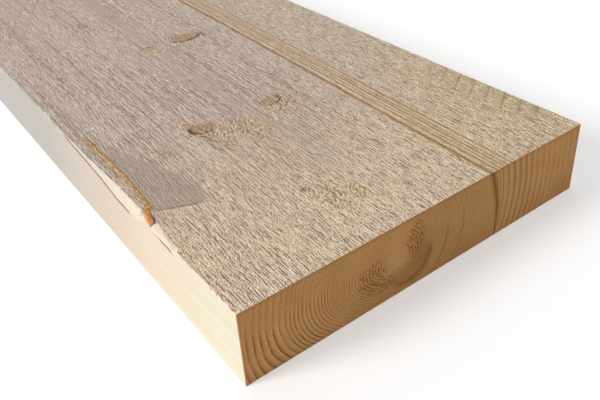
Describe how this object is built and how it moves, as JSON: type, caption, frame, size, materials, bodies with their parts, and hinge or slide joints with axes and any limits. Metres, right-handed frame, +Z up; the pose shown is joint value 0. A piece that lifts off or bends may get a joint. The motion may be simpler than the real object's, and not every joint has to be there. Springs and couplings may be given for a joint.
{
  "type": "sawn softwood plank",
  "caption": "Rough-sawn softwood plank lying flat: wide straight board with square-cut ends, knots, woolly saw texture and a torn, chipped arris near one end.",
  "frame": {"origin": "centre of the underside, which lies on the floor", "axes": "+X along the length towards the end with the torn arris, +Y across the width towards the sound edge, +Z up through the thickness"},
  "size_m": [1.8, 0.25, 0.048],
  "materials": {
    "sawn_softwood": "rough sawn, unplaned, dry, matt"
  },
  "bodies": {
    "root": {"plank": "sawn_softwood"}
  },
  "joints": []
}
